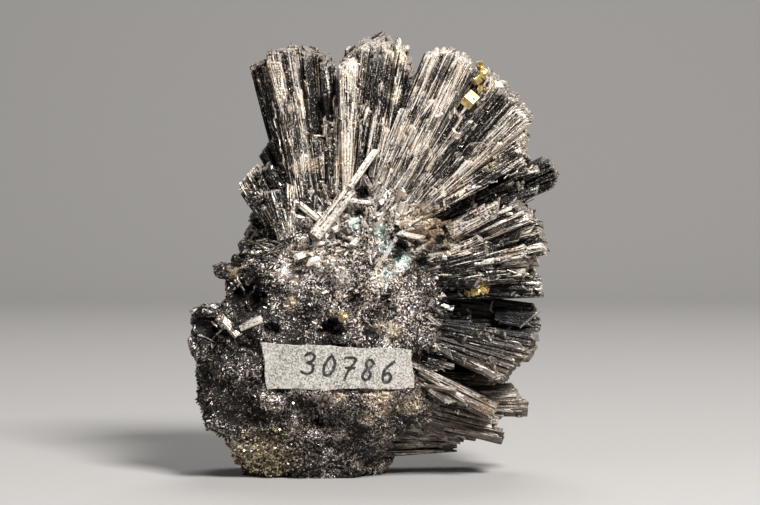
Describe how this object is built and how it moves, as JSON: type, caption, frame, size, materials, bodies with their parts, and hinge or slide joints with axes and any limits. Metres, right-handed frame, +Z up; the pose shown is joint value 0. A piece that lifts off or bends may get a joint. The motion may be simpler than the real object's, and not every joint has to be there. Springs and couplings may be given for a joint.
{
  "type": "enargite specimen",
  "caption": "Upright mineral specimen: a rosette of striated dark grey enargite blades fanning from a granular root, with pyrite grains and a glued paper label.",
  "frame": {"origin": "centre of the bounding box in X and Y, on the flat broken face that the specimen stands on, Z = 0", "axes": "+Z up along the longest extent, -Y out of the labelled face, +X to the viewer's right when the label faces them"},
  "size_m": [0.0548, 0.0289, 0.0672],
  "materials": {
    "enargite": "striated crystal faces with a dull metallic lustre, granular at the root, with tan and pale green stains",
    "pyrite": "natural cube faces, bright metallic",
    "paper": "matt flecked paper, hand inked"
  },
  "bodies": {
    "root": {"enargite_cluster": "enargite", "pyrite_upper": "pyrite", "pyrite_side": "pyrite", "pyrite_grain": "pyrite", "paper_label": "paper"}
  },
  "joints": []
}
